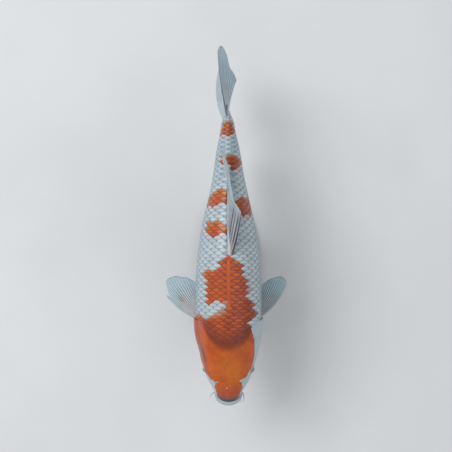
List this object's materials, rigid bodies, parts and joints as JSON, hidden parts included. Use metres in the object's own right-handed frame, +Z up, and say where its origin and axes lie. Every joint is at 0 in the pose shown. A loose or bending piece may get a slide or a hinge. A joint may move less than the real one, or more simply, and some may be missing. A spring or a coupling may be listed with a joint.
{
  "type": "koi carp display model on a stand",
  "caption": "Life-size still model of an orange and white koi carp swimming level, held above a plain oval base by short rods.",
  "frame": {"origin": "centre of the underside of the stand's oval base", "axes": "+Y from the fish's head to its tail, +X to the fish's left, +Z up"},
  "size_m": [0.1929, 0.5497, 0.2736],
  "materials": {
    "white_skin": "moist satin skin, white",
    "orange_skin": "moist satin skin, orange red",
    "fin_membrane": "thin rayed membrane, bluish white",
    "lip_skin": "soft moist skin, off white",
    "eye_gloss": "wet gloss, near black",
    "stand_metal": "satin dark grey"
  },
  "bodies": {
    "root": {"head": "orange_skin", "lower_jaw": "white_skin", "gill_cover_left": "white_skin", "gill_cover_right": "orange_skin", "eye_left": "eye_gloss", "eye_right": "eye_gloss", "barbel_corner_left": "lip_skin", "barbel_corner_right": "lip_skin", "barbel_lip_left": "lip_skin", "barbel_lip_right": "lip_skin", "trunk": "white_skin", "tail_stalk": "white_skin", "dorsal_fin": "fin_membrane", "anal_fin": "fin_membrane", "tail_fin_upper": "fin_membrane", "tail_fin_lower": "fin_membrane", "pectoral_fin_left": "fin_membrane", "pectoral_fin_right": "fin_membrane", "pelvic_fin_left": "fin_membrane", "pelvic_fin_right": "fin_membrane", "stand_base": "stand_metal", "stand_rod_front": "stand_metal", "stand_rod_rear": "stand_metal"}
  },
  "joints": []
}
